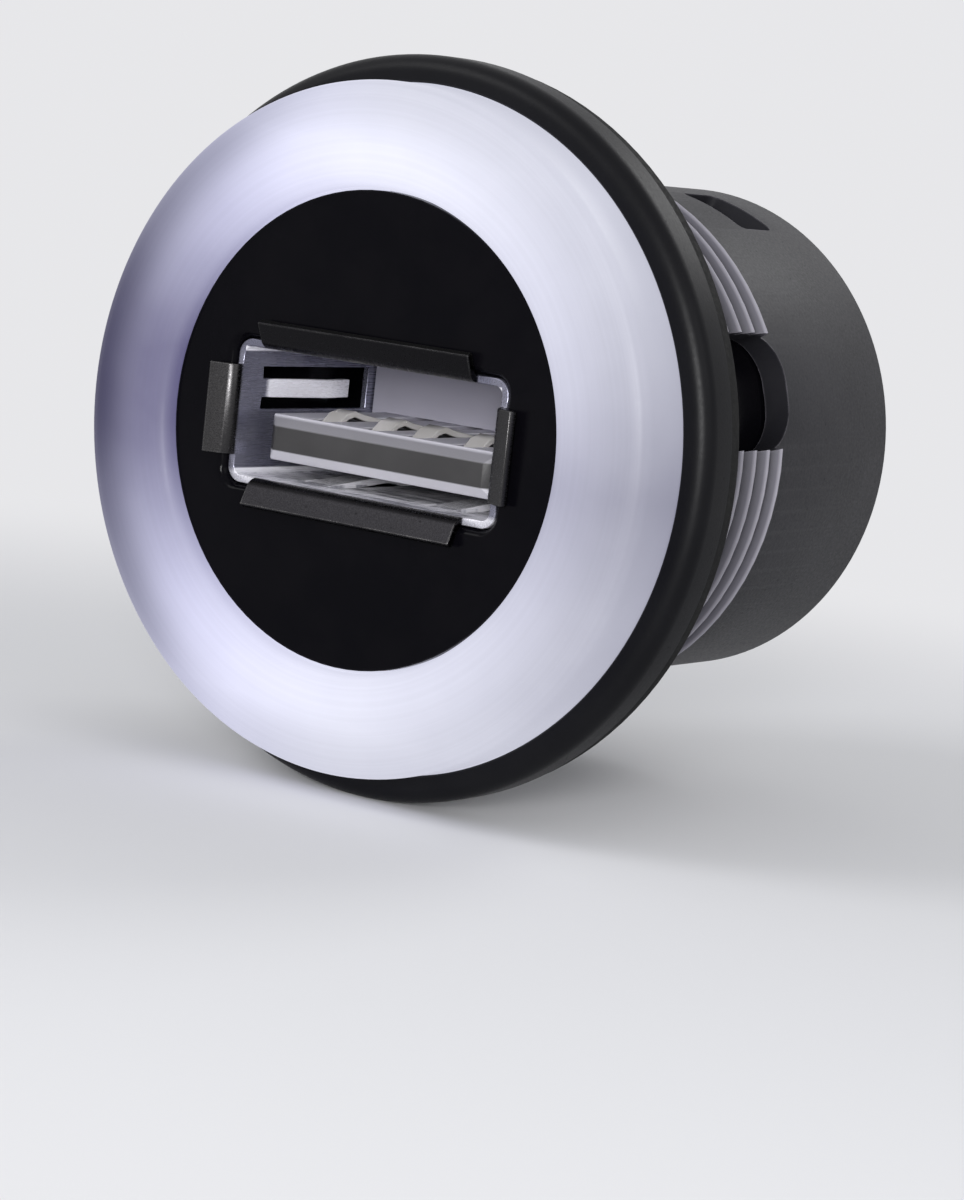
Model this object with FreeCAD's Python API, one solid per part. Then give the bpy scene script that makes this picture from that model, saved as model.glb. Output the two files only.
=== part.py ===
import FreeCAD, Part
import math
import os

# Round panel socket for a USB-A plug, with a lit ring round a black face.
# Millimetres. The origin is the centre of the panel seat, the rear face of the gasket.
# The socket faces -Y, the barrel runs along +Y behind the panel, and +Z is up.
# Angles round the axis are counted from +X towards +Z.

# Clearances: between pieces pressed together, and between pieces that slide in
fit_gap = 0.05
slide_gap = 0.1

# How far a cut runs past the surface it opens
cut_reach = 1.0

# USB-A port, inside sizes of the shell and its sheet
port_width = 12.5
port_height = 5.12
shell_sheet = 0.3
shell_corner = 0.35
shell_setback = 0.3
shell_board_gap = 0.8
lip_angle = 65.0
lip_bend = 0.3
lip_length = 0.75
lip_corner_gap = 1.15
lip_corner_gap_side = 0.76
finger_start = 1.6
finger_length = 5.5
finger_knee_share = 0.72
finger_depth = 0.35
finger_width = 1.2
finger_spacing = 3.1
side_finger_width = 0.75
side_finger_height = 0.85
finger_side_gap = 0.48
finger_end_gap = 1.4
leg_width = 0.8
leg_spacing = 1.75
leg_overhang = 0.9

# Tongue, base block and contacts of the port
tongue_side_room = 0.7
tongue_thickness = 1.84
tongue_top = -0.06
tongue_recess = 1.2
tongue_chamfer = 0.45
port_depth = 8.9
port_to_board = 13.6
base_foot = 1.2
base_foot_height = 1.0
contact_pitch_outer = 3.5
contact_pitch_inner = 1.0
contact_width = 0.9
contact_thickness = 0.25
contact_side_gap = 0.075
contact_bed_gap = 0.04
contact_groove_depth = 0.42
contact_pocket_depth = 1.0
contact_pocket_length = 1.4
contact_hump = 0.4
contact_nose = 0.55
contact_rise_length = 1.7
contact_arm_length = 4.6

# Black face and insert, from the port outward
port_room = 0.45
board_ledge = 0.55
insert_wall = 1.25
face_step = 0.05
face_recess = 0.7
face_thickness = 0.8
aperture_chamfer = 0.3
shoulder_width = 0.75
shoulder_thickness = 0.6
guide_rib_thickness = 0.8
guide_rib_offset = 4.0
guide_rib_length = 7.3

# Seal between insert and barrel
seal_cord_radius = 0.41
seal_bore_gap = 0.01
seal_groove_width = 1.2
seal_groove_depth = 0.75
seal_groove_start = 0.8

# Threaded barrel
barrel_wall = 1.1
thread_step = 0.6
thread_start = 0.3
thread_end = 10.0
thread_chamfer = 0.5
barrel_length = 19.0
barrel_edge_chamfer = 0.25
flange_thickness = 1.0

# Index slot through the barrel wall, counted from the panel seat
slot_angle = 16.0
slot_width = 4.7
slot_start = 3.2
slot_past_thread = 0.7
slot_corner = 1.8

# Latch windows of the barrel and latch arms of the insert
latch_angles = (70.0, 250.0)
window_width = 3.4
window_length = 2.5
window_corner = 0.4
latch_side_gap = 0.3
latch_slit = 0.5
latch_slit_length = 5.1
latch_hook_height = 0.75
latch_crest_length = 0.5

# Lit ring
ring_width = 4.08
ring_height = 3.3
ring_dome = 0.12
ring_outer_round = 0.6
ring_inner_round = 0.45
ring_foot_width = 0.29
ring_front_wall = 1.4
ring_inner_wall = 0.85
ring_outer_wall = 0.83

# Light board under the ring
led_board_thickness = 0.8
led_count = 8
led_length = 2.0
led_width = 1.25
led_height = 0.7
led_lens_length = 1.3
led_lens_chamfer = 0.12
resistor_count = 4
resistor_length = 1.6
resistor_width = 0.8
resistor_height = 0.45
resistor_cap_step = 0.06

# Collar and gasket
collar_wall = 0.72
collar_depth = 1.75
collar_edge_round = 0.7
collar_lip_thickness = 0.35
gasket_thickness = 0.6
gasket_inset = 0.1

# Wires from the light board to the main board
wire_radius = 0.4
wire_offset = 1.0
wire_bend = 0.8
wire_overlap = 1.1

# Main board and what it carries
board_thickness = 1.2
contact_overhang = 0.9
chip_length = 2.9
chip_width = 1.3
chip_height = 0.95
chip_standoff = 0.1
chip_chamfer = 0.12
chip_leg = 0.5
chip_leg_width = 0.4
chip_leg_sheet = 0.15
chip_leg_pitch = 0.95
chip_edge_room = 2.85

# Rear header
pin_count = 6
pin_pitch = 2.0
pin_size = 0.5
pin_row_height = 0.8
pin_front_overhang = 0.5
pin_rear_setback = 1.1
pin_tip = 0.12
header_end_room = 1.0
header_height = 5.6
header_wall = 0.7
header_corner = 0.4
header_standoff = 1.2
header_floor = 2.2
header_overhang = 2.5
header_notch_width = 1.2
header_notch_depth = 2.5
header_foot_inset = 1.9

# Rear cover and snap ring
cover_thickness = 1.2
skirt_wall = 0.5
snap_ring_thickness = 0.8
snap_ring_width = 0.95
snap_ring_depth = 0.4
snap_gap_angle = 34.0
snap_land = 0.5

# Radii that follow, from the port outward
tongue_width = port_width - 2 * tongue_side_room
shell_half_width = port_width / 2 + shell_sheet
shell_half_height = port_height / 2 + shell_sheet
shell_outer_corner = shell_corner + shell_sheet
shell_reach = shell_outer_corner + math.hypot(
    shell_half_width - shell_outer_corner, shell_half_height - shell_outer_corner,
)
insert_inner_radius = shell_reach + port_room
board_seat_radius = insert_inner_radius + board_ledge
board_radius = board_seat_radius - slide_gap
chip_offset = board_radius - chip_edge_room
insert_radius = board_seat_radius + insert_wall
bore_radius = insert_radius + slide_gap
rear_radius = bore_radius + barrel_wall
thread_radius = rear_radius + thread_step
face_radius = insert_radius + face_step
shoulder_radius = insert_radius + shoulder_width
counterbore_radius = shoulder_radius + slide_gap
ring_inner_radius = face_radius + slide_gap
ring_outer_radius = ring_inner_radius + ring_width
ring_foot_radius = ring_outer_radius + ring_foot_width
flange_radius = ring_foot_radius + slide_gap
collar_radius = flange_radius + fit_gap + collar_wall
gasket_radius = collar_radius - gasket_inset
channel_inner_radius = ring_inner_radius + ring_inner_wall
channel_outer_radius = ring_outer_radius - ring_outer_wall
led_circle_radius = (channel_inner_radius + channel_outer_radius) / 2
latch_hook_radius = insert_radius + latch_hook_height
latch_arm_half_width = window_width / 2 - latch_side_gap
skirt_outer_radius = board_radius
skirt_inner_radius = skirt_outer_radius - skirt_wall
snap_ring_outer_radius = bore_radius + snap_ring_depth
snap_ring_inner_radius = snap_ring_outer_radius - snap_ring_width
snap_groove_radius = snap_ring_outer_radius + fit_gap
wire_run_radius = insert_inner_radius - wire_bend
wire_start_radius = channel_inner_radius + wire_overlap
wire_hole_radius = wire_radius + slide_gap

# Planes along the axis that follow, from the panel seat forward
flange_rear = -gasket_thickness
flange_front = flange_rear - flange_thickness
collar_front = flange_rear - collar_depth
ring_crown = flange_front - ring_height
channel_roof = ring_crown + ring_front_wall
led_board_front = flange_front - led_board_thickness
shoulder_rear = flange_front + shoulder_thickness
face_front = ring_crown + face_recess
face_rear = face_front + face_thickness

# Planes of the port, from the face backward
shell_front = face_front + shell_setback
tongue_front = face_front + tongue_recess
port_floor = face_front + port_depth
board_front = face_front + port_to_board
board_rear = board_front + board_thickness
base_rear = board_front - base_foot_height
shell_rear = board_front - shell_board_gap
guide_rib_end = face_rear + guide_rib_length
finger_root = face_front + finger_start

# Planes at the rear, from the barrel's end forward
snap_groove_rear = barrel_length - snap_land
cover_rear = snap_groove_rear - snap_ring_thickness - 2 * fit_gap
cover_front = cover_rear - cover_thickness
insert_end = cover_front - slide_gap
window_end = insert_end
window_start = window_end - window_length
latch_slit_start = insert_end - latch_slit_length
header_front = board_rear + header_standoff
header_rear = barrel_length + header_overhang
slot_end = thread_end + slot_past_thread

# Places that several pieces share
header_length = (pin_count - 1) * pin_pitch + 2 * (header_end_room + header_wall)
contact_bed = tongue_top - contact_groove_depth + contact_bed_gap
contact_places = {
    "contact_vbus": -contact_pitch_outer,
    "contact_data_minus": -contact_pitch_inner,
    "contact_data_plus": contact_pitch_inner,
    "contact_ground": contact_pitch_outer,
}

ORIGIN = FreeCAD.Vector(0, 0, 0)
AXIS = FreeCAD.Vector(0, 1, 0)


def point(x, y, z):
    return FreeCAD.Vector(x, y, z)


def face_of(points):
    corners = [point(*p) for p in points]
    return Part.Face(Part.makePolygon(corners + corners[:1]))


def revolved(profile):
    """Solid of revolution about the Y axis from (radius, y) corners."""
    return face_of([(r, y, 0) for r, y in profile]).revolve(ORIGIN, AXIS, 360)


def rounded_corner(radius, plane, size, outward):
    """Corner of a revolved profile, rounded by two flats, from the wall to the front."""
    centre = radius - outward * size
    points = []
    for turn in (0.0, 45.0, 90.0):
        across = size * math.cos(math.radians(turn))
        along = size * math.sin(math.radians(turn))
        points.append((centre + outward * across, plane + size - along))
    return points


def cylinder(radius, y_from, y_to):
    return Part.makeCylinder(radius, y_to - y_from, point(0, y_from, 0), AXIS)


def tube(outer, inner, y_from, y_to):
    return cylinder(outer, y_from, y_to).cut(cylinder(inner, y_from, y_to))


def box(x_from, x_to, y_from, y_to, z_from, z_to):
    return Part.makeBox(x_to - x_from, y_to - y_from, z_to - z_from, point(x_from, y_from, z_from))


def turned(shape, degrees):
    """Turn about the axis, counted from +X towards +Z."""
    result = shape.copy()
    result.rotate(ORIGIN, point(0, -1, 0), degrees)
    return result


def circle_edges(shape, radius, y):
    found = []
    for edge in shape.Edges:
        if isinstance(edge.Curve, Part.Circle):
            near_radius = abs(edge.Curve.Radius - radius) < 1e-4
            near_plane = abs(edge.Curve.Center.y - y) < 1e-4
            if near_radius and near_plane:
                found.append(edge)
    return found


def edges_along(shape, direction, test):
    """Straight edges along a direction whose centre passes the test."""
    found = []
    for edge in shape.Edges:
        if isinstance(edge.Curve, Part.Line) and edge.Length > 1e-6:
            run = edge.tangentAt(edge.FirstParameter)
            if abs(run.dot(direction)) > 0.999 and test(edge.CenterOfMass):
                found.append(edge)
    return found


def rounded_box(half_width, half_height, y_from, y_to, corner):
    """Box along the axis, centred on it, with its four long edges rounded."""
    block = box(-half_width, half_width, y_from, y_to, -half_height, half_height)
    return block.makeFillet(corner, edges_along(block, AXIS, lambda c: True))


def wall_opening(width, y_from, y_to, corner, degrees):
    """Cutter through the barrel wall, with rounded corners, turned to its angle."""
    block = box(0, thread_radius + cut_reach, y_from, y_to, -width / 2, width / 2)
    block = block.makeFillet(corner, edges_along(block, point(1, 0, 0), lambda c: True))
    return turned(block, degrees)


def panel_gasket():
    return tube(gasket_radius, thread_radius + fit_gap, flange_rear, 0)


def bezel_collar():
    lip_radius = ring_outer_radius + fit_gap
    wall_radius = flange_radius + fit_gap
    lip_rear = collar_front + collar_lip_thickness
    edge = rounded_corner(collar_radius, collar_front, collar_edge_round, 1)
    return revolved([
        (lip_radius, collar_front),
        *reversed(edge),
        (collar_radius, flange_rear),
        (wall_radius, flange_rear),
        (wall_radius, lip_rear),
        (lip_radius, lip_rear),
    ])


def light_ring():
    foot_front = collar_front + collar_lip_thickness
    rim = ring_crown + ring_dome
    middle_radius = (ring_inner_radius + ring_outer_radius) / 2
    outer_edge = rounded_corner(ring_outer_radius, rim, ring_outer_round, 1)
    inner_edge = rounded_corner(ring_inner_radius, rim, ring_inner_round, -1)
    ring = revolved([
        *inner_edge,
        (middle_radius, ring_crown),
        *reversed(outer_edge),
        (ring_outer_radius, foot_front),
        (ring_foot_radius, foot_front),
        (ring_foot_radius, flange_front),
        (channel_outer_radius, flange_front),
        (channel_outer_radius, channel_roof),
        (channel_inner_radius, channel_roof),
        (channel_inner_radius, flange_front),
        (ring_inner_radius, flange_front),
    ])
    # Notch in the inner wall where the two wires leave the channel
    half = wire_offset + wire_radius + 2 * fit_gap
    roof = led_board_front - 2 * wire_radius - 2 * fit_gap
    notch = box(-half, half, roof, flange_front, -channel_inner_radius - fit_gap, 0)
    return ring.cut(notch)


def led_board():
    outer = channel_outer_radius - slide_gap
    inner = channel_inner_radius + slide_gap
    return tube(outer, inner, led_board_front, flange_front)


def chip_led():
    """One chip LED on the light board, at +X."""
    base_height = led_height / 2
    base_front = led_board_front - base_height
    half_width = led_width / 2
    base = box(
        led_circle_radius - half_width, led_circle_radius + half_width,
        base_front, led_board_front,
        -led_length / 2, led_length / 2,
    )
    lens = box(
        led_circle_radius - half_width, led_circle_radius + half_width,
        led_board_front - led_height, base_front,
        -led_lens_length / 2, led_lens_length / 2,
    )
    front = led_board_front - led_height
    radial = point(1, 0, 0)
    lens = lens.makeChamfer(led_lens_chamfer, edges_along(lens, radial, lambda c: c.y < front + 1e-4))
    return base.fuse(lens)


def led_resistor():
    """One chip resistor with its raised end caps, at +X."""
    half = resistor_length / 2
    cap = resistor_length / 5
    cap_front = led_board_front - resistor_height
    body_front = cap_front + resistor_cap_step
    r_from = led_circle_radius - resistor_width / 2
    r_to = led_circle_radius + resistor_width / 2
    body = box(r_from, r_to, body_front, led_board_front, -half, half)
    for side in (-1, 1):
        low = min(side * half, side * (half - cap))
        body = body.fuse(box(r_from, r_to, cap_front, led_board_front, low, low + cap))
    return body.removeSplitter()


def led_wire(side):
    """Insulated wire from the light board's face, inward and back to the main board."""
    x = side * wire_offset
    y_board = led_board_front - wire_radius
    corner_z = -wire_run_radius
    start = point(x, y_board, -wire_start_radius)
    bend_start = point(x, y_board, corner_z - wire_bend)
    bend_end = point(x, y_board + wire_bend, corner_z)
    bend_middle = point(
        x,
        y_board + wire_bend * (1 - math.cos(math.pi / 4)),
        corner_z - wire_bend * (1 - math.sin(math.pi / 4)),
    )
    finish = point(x, board_front, corner_z)
    path = Part.Wire([
        Part.LineSegment(start, bend_start).toShape(),
        Part.Arc(bend_start, bend_middle, bend_end).toShape(),
        Part.LineSegment(bend_end, finish).toShape(),
    ])
    corners = []
    for turn in range(0, 405, 45):
        across = wire_radius * math.cos(math.radians(turn))
        along = wire_radius * math.sin(math.radians(turn))
        corners.append(start + point(across, along, 0))
    return path.makePipeShell([Part.makePolygon(corners)], True, True)


def latch_hook(angle):
    """Hook on a latch arm: flat towards the front, a ramp towards the rear."""
    half = latch_arm_half_width - slide_gap
    root = (insert_radius + board_seat_radius) / 2
    front = window_start + 2 * slide_gap
    crest_end = front + latch_crest_length
    ramp_end = window_end - slide_gap
    side = face_of([
        (root, front, -half),
        (latch_hook_radius, front, -half),
        (latch_hook_radius, crest_end, -half),
        (insert_radius, ramp_end, -half),
        (root, ramp_end, -half),
    ])
    return turned(side.extrude(point(0, 0, 2 * half)), angle)


def latch_slits(angle):
    """The two slits that free a latch arm from the tube."""
    slits = None
    for side in (-1, 1):
        middle = side * (latch_arm_half_width + latch_slit / 2)
        slit = box(
            insert_inner_radius - cut_reach, insert_radius + cut_reach,
            latch_slit_start, insert_end + cut_reach,
            middle - latch_slit / 2, middle + latch_slit / 2,
        )
        slits = slit if slits is None else slits.fuse(slit)
    return turned(slits, angle)


def guide_ribs():
    """Four ribs that hold the port shell in the middle of the tube."""
    inner = shell_half_height + fit_gap
    ribs = []
    for x_side in (-1, 1):
        for z_side in (-1, 1):
            x_middle = x_side * guide_rib_offset
            half = guide_rib_thickness / 2
            low = inner if z_side > 0 else -insert_inner_radius
            high = insert_inner_radius if z_side > 0 else -inner
            rib = box(x_middle - half, x_middle + half, face_rear, guide_rib_end, low, high)
            ribs.append(rib.common(cylinder(board_seat_radius, face_rear, guide_rib_end)))
    return ribs


def port_aperture():
    """Opening of the black face, with a chamfer round the flared lips."""
    half_width = shell_half_width + fit_gap
    half_height = shell_half_height + fit_gap
    straight = rounded_box(half_width, half_height, face_front, face_rear, shell_outer_corner)
    chamfer_rear = face_front + aperture_chamfer
    mouth = []
    for y, grow in ((face_front, aperture_chamfer), (chamfer_rear, 0.0)):
        block = rounded_box(half_width + grow, half_height + grow, y, y + cut_reach, shell_outer_corner + grow)
        section = [f for f in block.Faces if abs(f.CenterOfMass.y - y) < 1e-6]
        mouth.append(section[0].OuterWire)
    return straight.fuse(Part.makeLoft(mouth, True, True))


def front_insert():
    groove_end = seal_groove_start + seal_groove_width
    groove_radius = insert_radius - seal_groove_depth
    profile = [
        (0, face_front),
        (face_radius, face_front),
        (face_radius, flange_front),
        (shoulder_radius, flange_front),
        (shoulder_radius, shoulder_rear),
        (insert_radius, shoulder_rear),
        (insert_radius, seal_groove_start),
        (groove_radius, seal_groove_start),
        (groove_radius, groove_end),
        (insert_radius, groove_end),
        (insert_radius, insert_end),
        (board_seat_radius, insert_end),
        (board_seat_radius, board_front),
        (insert_inner_radius, board_front),
        (insert_inner_radius, face_rear),
        (0, face_rear),
    ]
    insert = revolved(profile)
    insert = insert.fuse(guide_ribs())
    for angle in latch_angles:
        insert = insert.fuse(latch_hook(angle))
        insert = insert.cut(latch_slits(angle))
    insert = insert.cut(port_aperture())
    for side in (-1, 1):
        hole = Part.makeCylinder(
            wire_hole_radius, face_radius,
            point(side * wire_offset, led_board_front - wire_radius, -face_radius - cut_reach),
            point(0, 0, 1),
        )
        trim = cylinder(insert_inner_radius - cut_reach, face_front, board_front)
        insert = insert.cut(hole.cut(trim))
    return insert.removeSplitter()


def insert_o_ring():
    groove_middle = seal_groove_start + seal_groove_width / 2
    centre_radius = bore_radius - seal_cord_radius - seal_bore_gap
    cord = []
    for turn in range(0, 360, 60):
        across = seal_cord_radius * math.cos(math.radians(turn))
        along = seal_cord_radius * math.sin(math.radians(turn))
        cord.append((centre_radius + across, groove_middle + along))
    return revolved(cord)


def threaded_barrel():
    profile = [
        (counterbore_radius, flange_front),
        (flange_radius, flange_front),
        (flange_radius, flange_rear),
        (rear_radius, flange_rear),
        (rear_radius, thread_start),
        (thread_radius, thread_start),
        (thread_radius, thread_end - thread_chamfer),
        (rear_radius, thread_end),
        (rear_radius, barrel_length - barrel_edge_chamfer),
        (rear_radius - barrel_edge_chamfer, barrel_length),
        (bore_radius, barrel_length),
        (bore_radius, snap_groove_rear),
        (snap_groove_radius, snap_groove_rear),
        (snap_groove_radius, cover_rear),
        (bore_radius, cover_rear),
        (bore_radius, shoulder_rear),
        (counterbore_radius, shoulder_rear),
    ]
    barrel = revolved(profile)
    openings = [wall_opening(slot_width, slot_start, slot_end, slot_corner, slot_angle)]
    for angle in latch_angles:
        openings.append(wall_opening(window_width, window_start, window_end, window_corner, angle))
    return barrel.cut(openings)


def lip(length):
    """Flared lip of the shell as a strip along X, wall inside face at z 0, outward +Z."""
    angle = math.radians(lip_angle)
    half = angle / 2
    centre_z = shell_sheet + lip_bend
    inner = lip_bend + shell_sheet
    outer = lip_bend

    def on_arc(radius, turn):
        return point(0, shell_front - radius * math.sin(turn), centre_z - radius * math.cos(turn))

    run = point(0, -math.cos(angle), math.sin(angle)) * lip_length
    inner_end = on_arc(inner, angle)
    outer_end = on_arc(outer, angle)
    edges = [
        Part.Arc(on_arc(inner, 0), on_arc(inner, half), inner_end).toShape(),
        Part.LineSegment(inner_end, inner_end + run).toShape(),
        Part.LineSegment(inner_end + run, outer_end + run).toShape(),
        Part.LineSegment(outer_end + run, outer_end).toShape(),
        Part.Arc(outer_end, on_arc(outer, half), on_arc(outer, 0)).toShape(),
        Part.LineSegment(on_arc(outer, 0), on_arc(inner, 0)).toShape(),
    ]
    strip = Part.Face(Part.Wire(edges)).extrude(point(length, 0, 0))
    strip.translate(point(-length / 2, 0, 0))
    return strip


def finger(width):
    """Spring finger as a strip along X, wall inside face at z 0, outward +Z."""
    sheet = shell_sheet
    knee = finger_root + finger_length * finger_knee_share
    tip = finger_root + finger_length
    side = face_of([
        (0, finger_root, 0),
        (0, knee, -finger_depth),
        (0, tip, -finger_depth / 3),
        (0, tip, sheet - finger_depth / 3),
        (0, knee, sheet - finger_depth),
        (0, finger_root, sheet),
    ])
    strip = side.extrude(point(width, 0, 0))
    strip.translate(point(-width / 2, 0, 0))
    return strip


def finger_window(width):
    half = width / 2 + finger_side_gap
    end = finger_root + finger_length + finger_end_gap
    return box(-half, half, finger_root, end, -2 * shell_sheet, 2 * shell_sheet)


def placed_on_wall(shape, wall, offset):
    """Move a strip made for the top wall to one of the shell's four walls."""
    result = shape.copy()
    if wall == "top":
        result.translate(point(offset, 0, port_height / 2))
    elif wall == "bottom":
        result.rotate(ORIGIN, AXIS, 180)
        result.translate(point(offset, 0, -port_height / 2))
    elif wall == "right":
        result.rotate(ORIGIN, AXIS, 90)
        result.translate(point(port_width / 2, 0, offset))
    else:
        result.rotate(ORIGIN, AXIS, -90)
        result.translate(point(-port_width / 2, 0, offset))
    return result


def usb_shell():
    outer = rounded_box(
        shell_half_width, shell_half_height, shell_front, shell_rear, shell_outer_corner,
    )
    inner = rounded_box(
        port_width / 2, port_height / 2, shell_front - cut_reach, shell_rear + cut_reach, shell_corner,
    )
    shell = outer.cut(inner)
    wide_lip = port_width - 2 * lip_corner_gap
    side_lip = port_height - 2 * lip_corner_gap_side
    pieces = []
    for wall, length in (("top", wide_lip), ("bottom", wide_lip), ("right", side_lip), ("left", side_lip)):
        pieces.append(placed_on_wall(lip(length), wall, 0))
    fingers = []
    for wall in ("top", "bottom"):
        for side in (-1, 1):
            fingers.append((wall, side * finger_spacing, finger_width))
    fingers.append(("right", -side_finger_height, side_finger_width))
    fingers.append(("left", side_finger_height, side_finger_width))
    for wall, offset, width in fingers:
        shell = shell.cut(placed_on_wall(finger_window(width), wall, offset))
        pieces.append(placed_on_wall(finger(width), wall, offset))
    leg_end = board_rear + leg_overhang
    for x_side in (-1, 1):
        for z_side in (-1, 1):
            x_low = min(x_side * port_width / 2, x_side * shell_half_width)
            z_middle = z_side * leg_spacing
            pieces.append(box(
                x_low, x_low + shell_sheet, shell_rear - leg_width, leg_end,
                z_middle - leg_width / 2, z_middle + leg_width / 2,
            ))
    return shell.fuse(pieces).removeSplitter()


def usb_insulator():
    half_width = port_width / 2 - fit_gap
    half_height = port_height / 2 - fit_gap
    base = rounded_box(half_width, half_height, port_floor, board_front, shell_corner)
    inner_width = half_width - base_foot
    inner_height = half_height - base_foot
    across_relief = box(-half_width, half_width, base_rear, board_front, -inner_height, inner_height)
    upright_relief = box(-inner_width, inner_width, base_rear, board_front, -half_height, half_height)
    base = base.cut([across_relief, upright_relief])
    tongue_bottom = tongue_top - tongue_thickness
    half_tongue = tongue_width / 2
    tongue = box(-half_tongue, half_tongue, tongue_front, base_rear, tongue_bottom, tongue_top)
    across = point(1, 0, 0)
    nose = edges_along(tongue, across, lambda c: c.y < tongue_front + 1e-4)
    upright = edges_along(tongue, point(0, 0, 1), lambda c: c.y < tongue_front + 1e-4)
    tongue = tongue.makeChamfer(tongue_chamfer, nose + upright)
    body = base.fuse(tongue)
    half_groove = contact_width / 2 + contact_side_gap
    groove_front = tongue_front + contact_nose
    for x in contact_places.values():
        groove = box(
            x - half_groove, x + half_groove, groove_front, board_front,
            tongue_top - contact_groove_depth, tongue_top,
        )
        pocket = box(
            x - half_groove, x + half_groove, groove_front, groove_front + contact_pocket_length,
            tongue_top - contact_pocket_depth, tongue_top,
        )
        body = body.cut(groove).cut(pocket)
    return body.removeSplitter()


def contact(x):
    """Spring contact: nose in its pocket, hump above the tongue, straight tail."""
    half = contact_thickness / 2
    nose_y = tongue_front + contact_nose + contact_thickness
    hump_y = nose_y + contact_rise_length
    foot_y = nose_y + contact_arm_length
    crest = tongue_top + contact_hump - half
    line = [
        (nose_y, tongue_top - contact_pocket_depth + 2 * half),
        (hump_y - 2 * contact_thickness, crest - half),
        (hump_y, crest),
        (hump_y + 2 * contact_thickness, crest - half),
        (foot_y, contact_bed + half),
        (board_rear + contact_overhang, contact_bed + half),
    ]
    upper = []
    lower = []
    for index, (y, z) in enumerate(line):
        before = line[max(index - 1, 0)]
        after = line[min(index + 1, len(line) - 1)]
        dy = after[0] - before[0]
        dz = after[1] - before[1]
        size = math.hypot(dy, dz)
        upper.append((x, y - dz / size * half, z + dy / size * half))
        lower.append((x, y + dz / size * half, z - dy / size * half))
    strip = face_of(upper + lower[::-1]).extrude(point(contact_width, 0, 0))
    strip.translate(point(-contact_width / 2, 0, 0))
    return strip


def header_pin_places():
    first = -(pin_count - 1) * pin_pitch / 2
    return [first + index * pin_pitch for index in range(pin_count)]


def main_board():
    board = cylinder(board_radius, board_front, board_rear)
    gap = slide_gap
    holes = []
    for x_side in (-1, 1):
        for z_side in (-1, 1):
            x_low = min(x_side * port_width / 2, x_side * shell_half_width)
            z_middle = z_side * leg_spacing
            holes.append(box(
                x_low - gap, x_low + shell_sheet + gap, board_front, board_rear,
                z_middle - leg_width / 2 - gap, z_middle + leg_width / 2 + gap,
            ))
    for x in contact_places.values():
        holes.append(box(
            x - contact_width / 2 - gap, x + contact_width / 2 + gap, board_front, board_rear,
            contact_bed - gap, contact_bed + contact_thickness + gap,
        ))
    half_pin = pin_size / 2 + gap
    for x in header_pin_places():
        holes.append(box(
            x - half_pin, x + half_pin, board_front, board_rear,
            pin_row_height - half_pin, pin_row_height + half_pin,
        ))
    return board.cut(holes)


def esd_array():
    """Six-leg protection chip on the rear side of the main board."""
    body_front = board_rear + chip_standoff
    body = box(
        -chip_length / 2, chip_length / 2, body_front, board_rear + chip_height,
        -chip_offset - chip_width / 2, -chip_offset + chip_width / 2,
    )
    body = body.makeChamfer(chip_chamfer, edges_along(
        body, point(1, 0, 0), lambda c: c.y > board_rear + chip_height - 1e-4,
    ))
    half = chip_leg_width / 2
    for x in (-chip_leg_pitch, 0, chip_leg_pitch):
        for side in (-1, 1):
            edge = -chip_offset + side * chip_width / 2
            foot_low = min(edge, edge + side * chip_leg)
            foot = box(
                x - half, x + half, board_rear, board_rear + chip_leg_sheet,
                foot_low, foot_low + chip_leg,
            )
            rise_low = min(edge, edge + side * chip_leg_sheet)
            rise = box(
                x - half, x + half, board_rear, board_rear + chip_height / 2,
                rise_low, rise_low + chip_leg_sheet,
            )
            body = body.fuse([foot, rise])
    return body.removeSplitter()


def rear_header():
    half_length = header_length / 2
    half_height = header_height / 2
    body = box(-half_length, half_length, header_front, header_rear, -half_height, half_height)
    body = body.makeFillet(header_corner, edges_along(body, AXIS, lambda c: True))
    cavity_front = header_front + header_floor
    body = body.cut(box(
        -half_length + header_wall, half_length - header_wall, cavity_front, header_rear,
        -half_height + header_wall, half_height - header_wall,
    ))
    for x_side in (-1, 1):
        x_middle = x_side * (half_length - header_foot_inset)
        body = body.cut(box(
            x_middle - header_notch_width / 2, x_middle + header_notch_width / 2,
            header_rear - header_notch_depth, header_rear, -half_height, 0,
        ))
        for z_side in (-1, 1):
            outer = z_side * half_height
            low = min(outer, outer - z_side * header_wall)
            body = body.fuse(box(
                x_middle - header_notch_width / 2, x_middle + header_notch_width / 2,
                board_rear, header_front, low, low + header_wall,
            ))
    for x in header_pin_places():
        body = body.cut(box(
            x - pin_size / 2, x + pin_size / 2, header_front, cavity_front,
            pin_row_height - pin_size / 2, pin_row_height + pin_size / 2,
        ))
    return body.removeSplitter()


def header_pin(x):
    front = board_front - pin_front_overhang
    rear = header_rear - pin_rear_setback
    half = pin_size / 2
    pin = box(x - half, x + half, front, rear, pin_row_height - half, pin_row_height + half)
    ends = [e for e in pin.Edges if abs(e.CenterOfMass.y - front) < 1e-6]
    ends += [e for e in pin.Edges if abs(e.CenterOfMass.y - rear) < 1e-6]
    return pin.makeChamfer(pin_tip, ends)


def rear_cover():
    disc = cylinder(bore_radius - fit_gap, cover_front, cover_rear)
    skirt = tube(skirt_outer_radius, skirt_inner_radius, board_rear, cover_front)
    cover = disc.fuse(skirt)
    half_length = header_length / 2 + slide_gap
    half_height = header_height / 2 + slide_gap
    opening = rounded_box(half_length, half_height, board_rear, cover_rear, header_corner)
    return cover.cut(opening).removeSplitter()


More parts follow.
